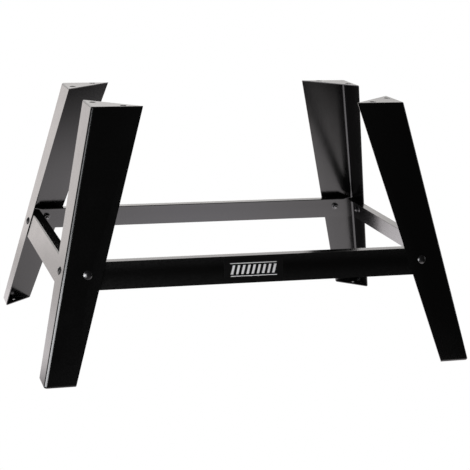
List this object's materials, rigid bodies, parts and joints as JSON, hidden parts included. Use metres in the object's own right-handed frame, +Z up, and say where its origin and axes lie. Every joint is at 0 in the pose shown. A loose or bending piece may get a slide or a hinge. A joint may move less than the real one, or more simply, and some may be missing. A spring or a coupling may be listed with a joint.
{
  "type": "machine leg stand",
  "caption": "Bolted sheet-steel leg stand with splayed angle legs joined by folded rails; carries a bench machine on drilled corner plates.",
  "frame": {"origin": "middle of the footprint, on the floor", "axes": "+X along the long rails, +Y to the back, +Z up; the label faces -Y"},
  "size_m": [1.018, 0.7356, 0.6],
  "materials": {
    "leg_coat": "gloss black powder coat on pressed steel",
    "rail_coat": "gloss black powder coat on folded steel",
    "bolt": "black zinc carriage bolt",
    "nut": "black zinc flange nut",
    "label": "black printed vinyl film"
  },
  "bodies": {
    "root": {"bolt_back_left": "bolt", "bolt_back_right": "bolt", "bolt_front_left": "bolt", "bolt_front_right": "bolt", "bolt_left_back": "bolt", "bolt_left_front": "bolt", "bolt_right_back": "bolt", "bolt_right_front": "bolt", "label": "label", "leg_back_left": "leg_coat", "leg_back_right": "leg_coat", "leg_front_left": "leg_coat", "leg_front_right": "leg_coat", "nut_back_left": "nut", "nut_back_right": "nut", "nut_front_left": "nut", "nut_front_right": "nut", "nut_left_back": "nut", "nut_left_front": "nut", "nut_right_back": "nut", "nut_right_front": "nut", "rail_back": "rail_coat", "rail_front": "rail_coat", "rail_left": "rail_coat", "rail_right": "rail_coat"}
  },
  "joints": []
}
